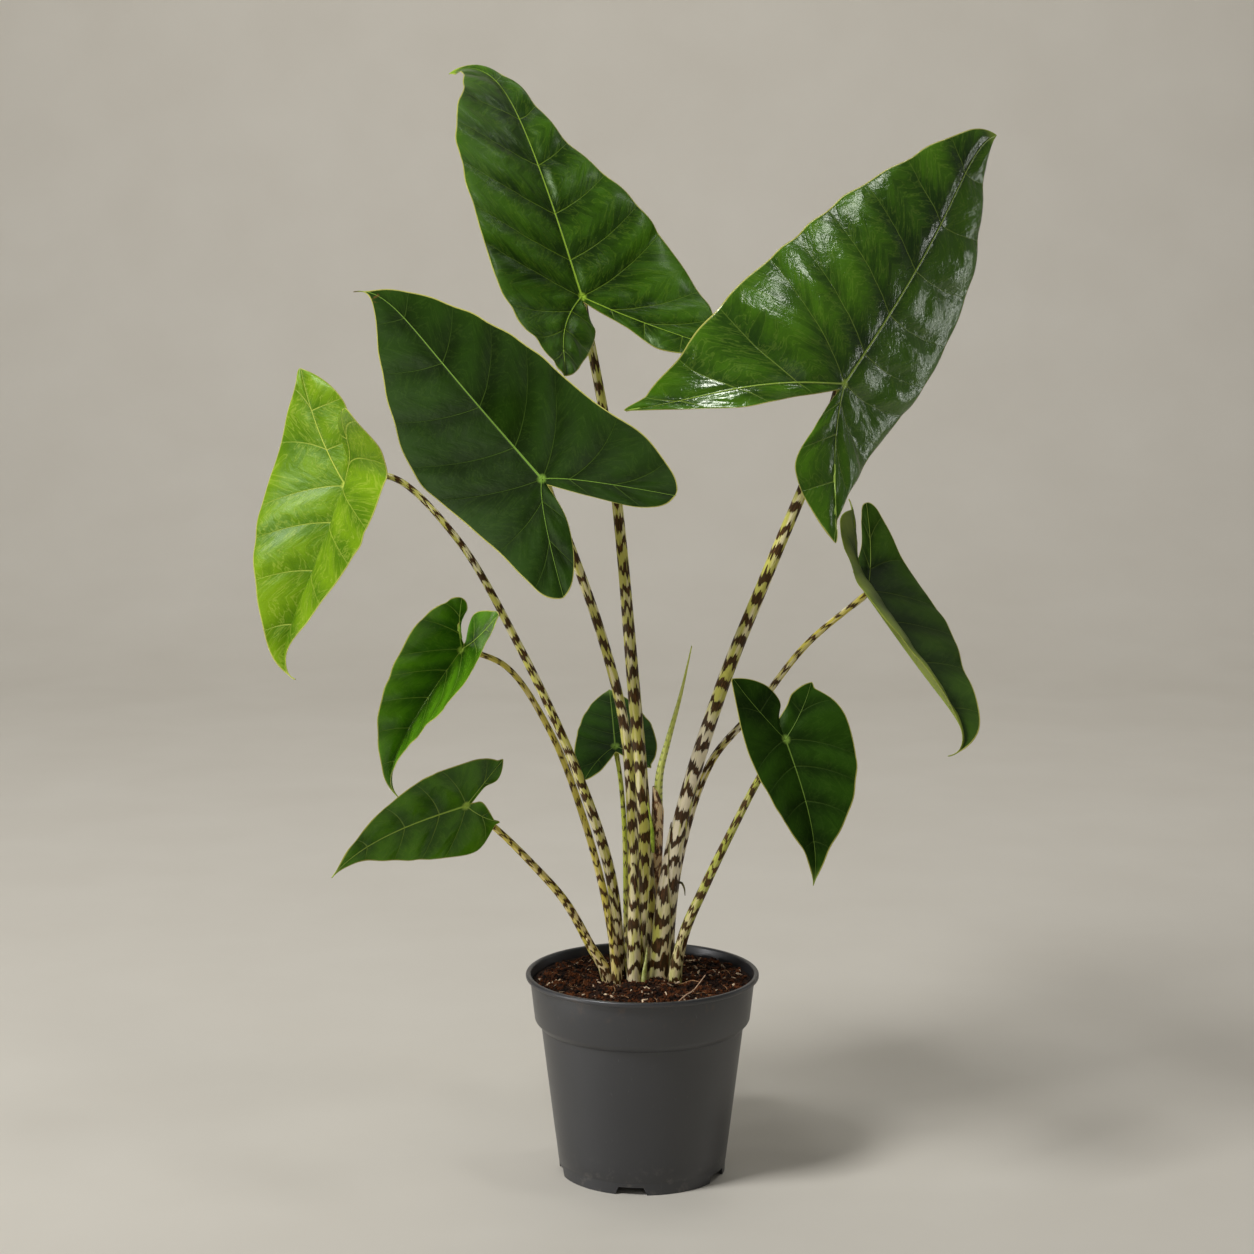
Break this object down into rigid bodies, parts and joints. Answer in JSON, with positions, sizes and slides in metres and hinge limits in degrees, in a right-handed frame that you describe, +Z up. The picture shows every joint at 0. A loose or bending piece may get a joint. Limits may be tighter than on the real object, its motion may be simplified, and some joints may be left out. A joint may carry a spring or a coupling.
{
  "type": "potted alocasia zebrina plant",
  "caption": "Potted alocasia zebrina: arrow-shaped green leaves on tall banded petioles, with a rolled new leaf, standing in soil in a plain tapered nursery pot.",
  "frame": {"origin": "centre of the pot's base, on the surface that the pot stands on", "axes": "+Z up along the pot's axis, +X to the viewer's right, +Y away from the viewer, who faces the glossy upper sides of the leaves"},
  "size_m": [0.537, 0.3444, 0.8108],
  "materials": {
    "blade_satin": "satin",
    "blade_dark": "satin",
    "blade_glossy": "gloss",
    "blade_lime": "satin",
    "petiole": "satin",
    "sheath": "matte",
    "new_leaf": "satin",
    "pot": "matte",
    "soil": "matte"
  },
  "bodies": {
    "root": {"pot": "pot", "soil": "soil", "petiole_top": "petiole", "blade_top": "blade_satin", "petiole_glossy": "petiole", "blade_glossy": "blade_glossy", "petiole_dark": "petiole", "blade_dark": "blade_dark", "petiole_lime": "petiole", "blade_lime": "blade_lime", "petiole_small_left": "petiole", "blade_small_left": "blade_glossy", "petiole_low_left": "petiole", "blade_low_left": "blade_glossy", "petiole_back": "petiole", "blade_back": "blade_satin", "petiole_heart": "petiole", "blade_heart": "blade_satin", "petiole_hanging": "petiole", "blade_hanging": "blade_satin", "new_leaf_sheath": "sheath", "new_leaf_roll": "new_leaf"}
  },
  "joints": []
}
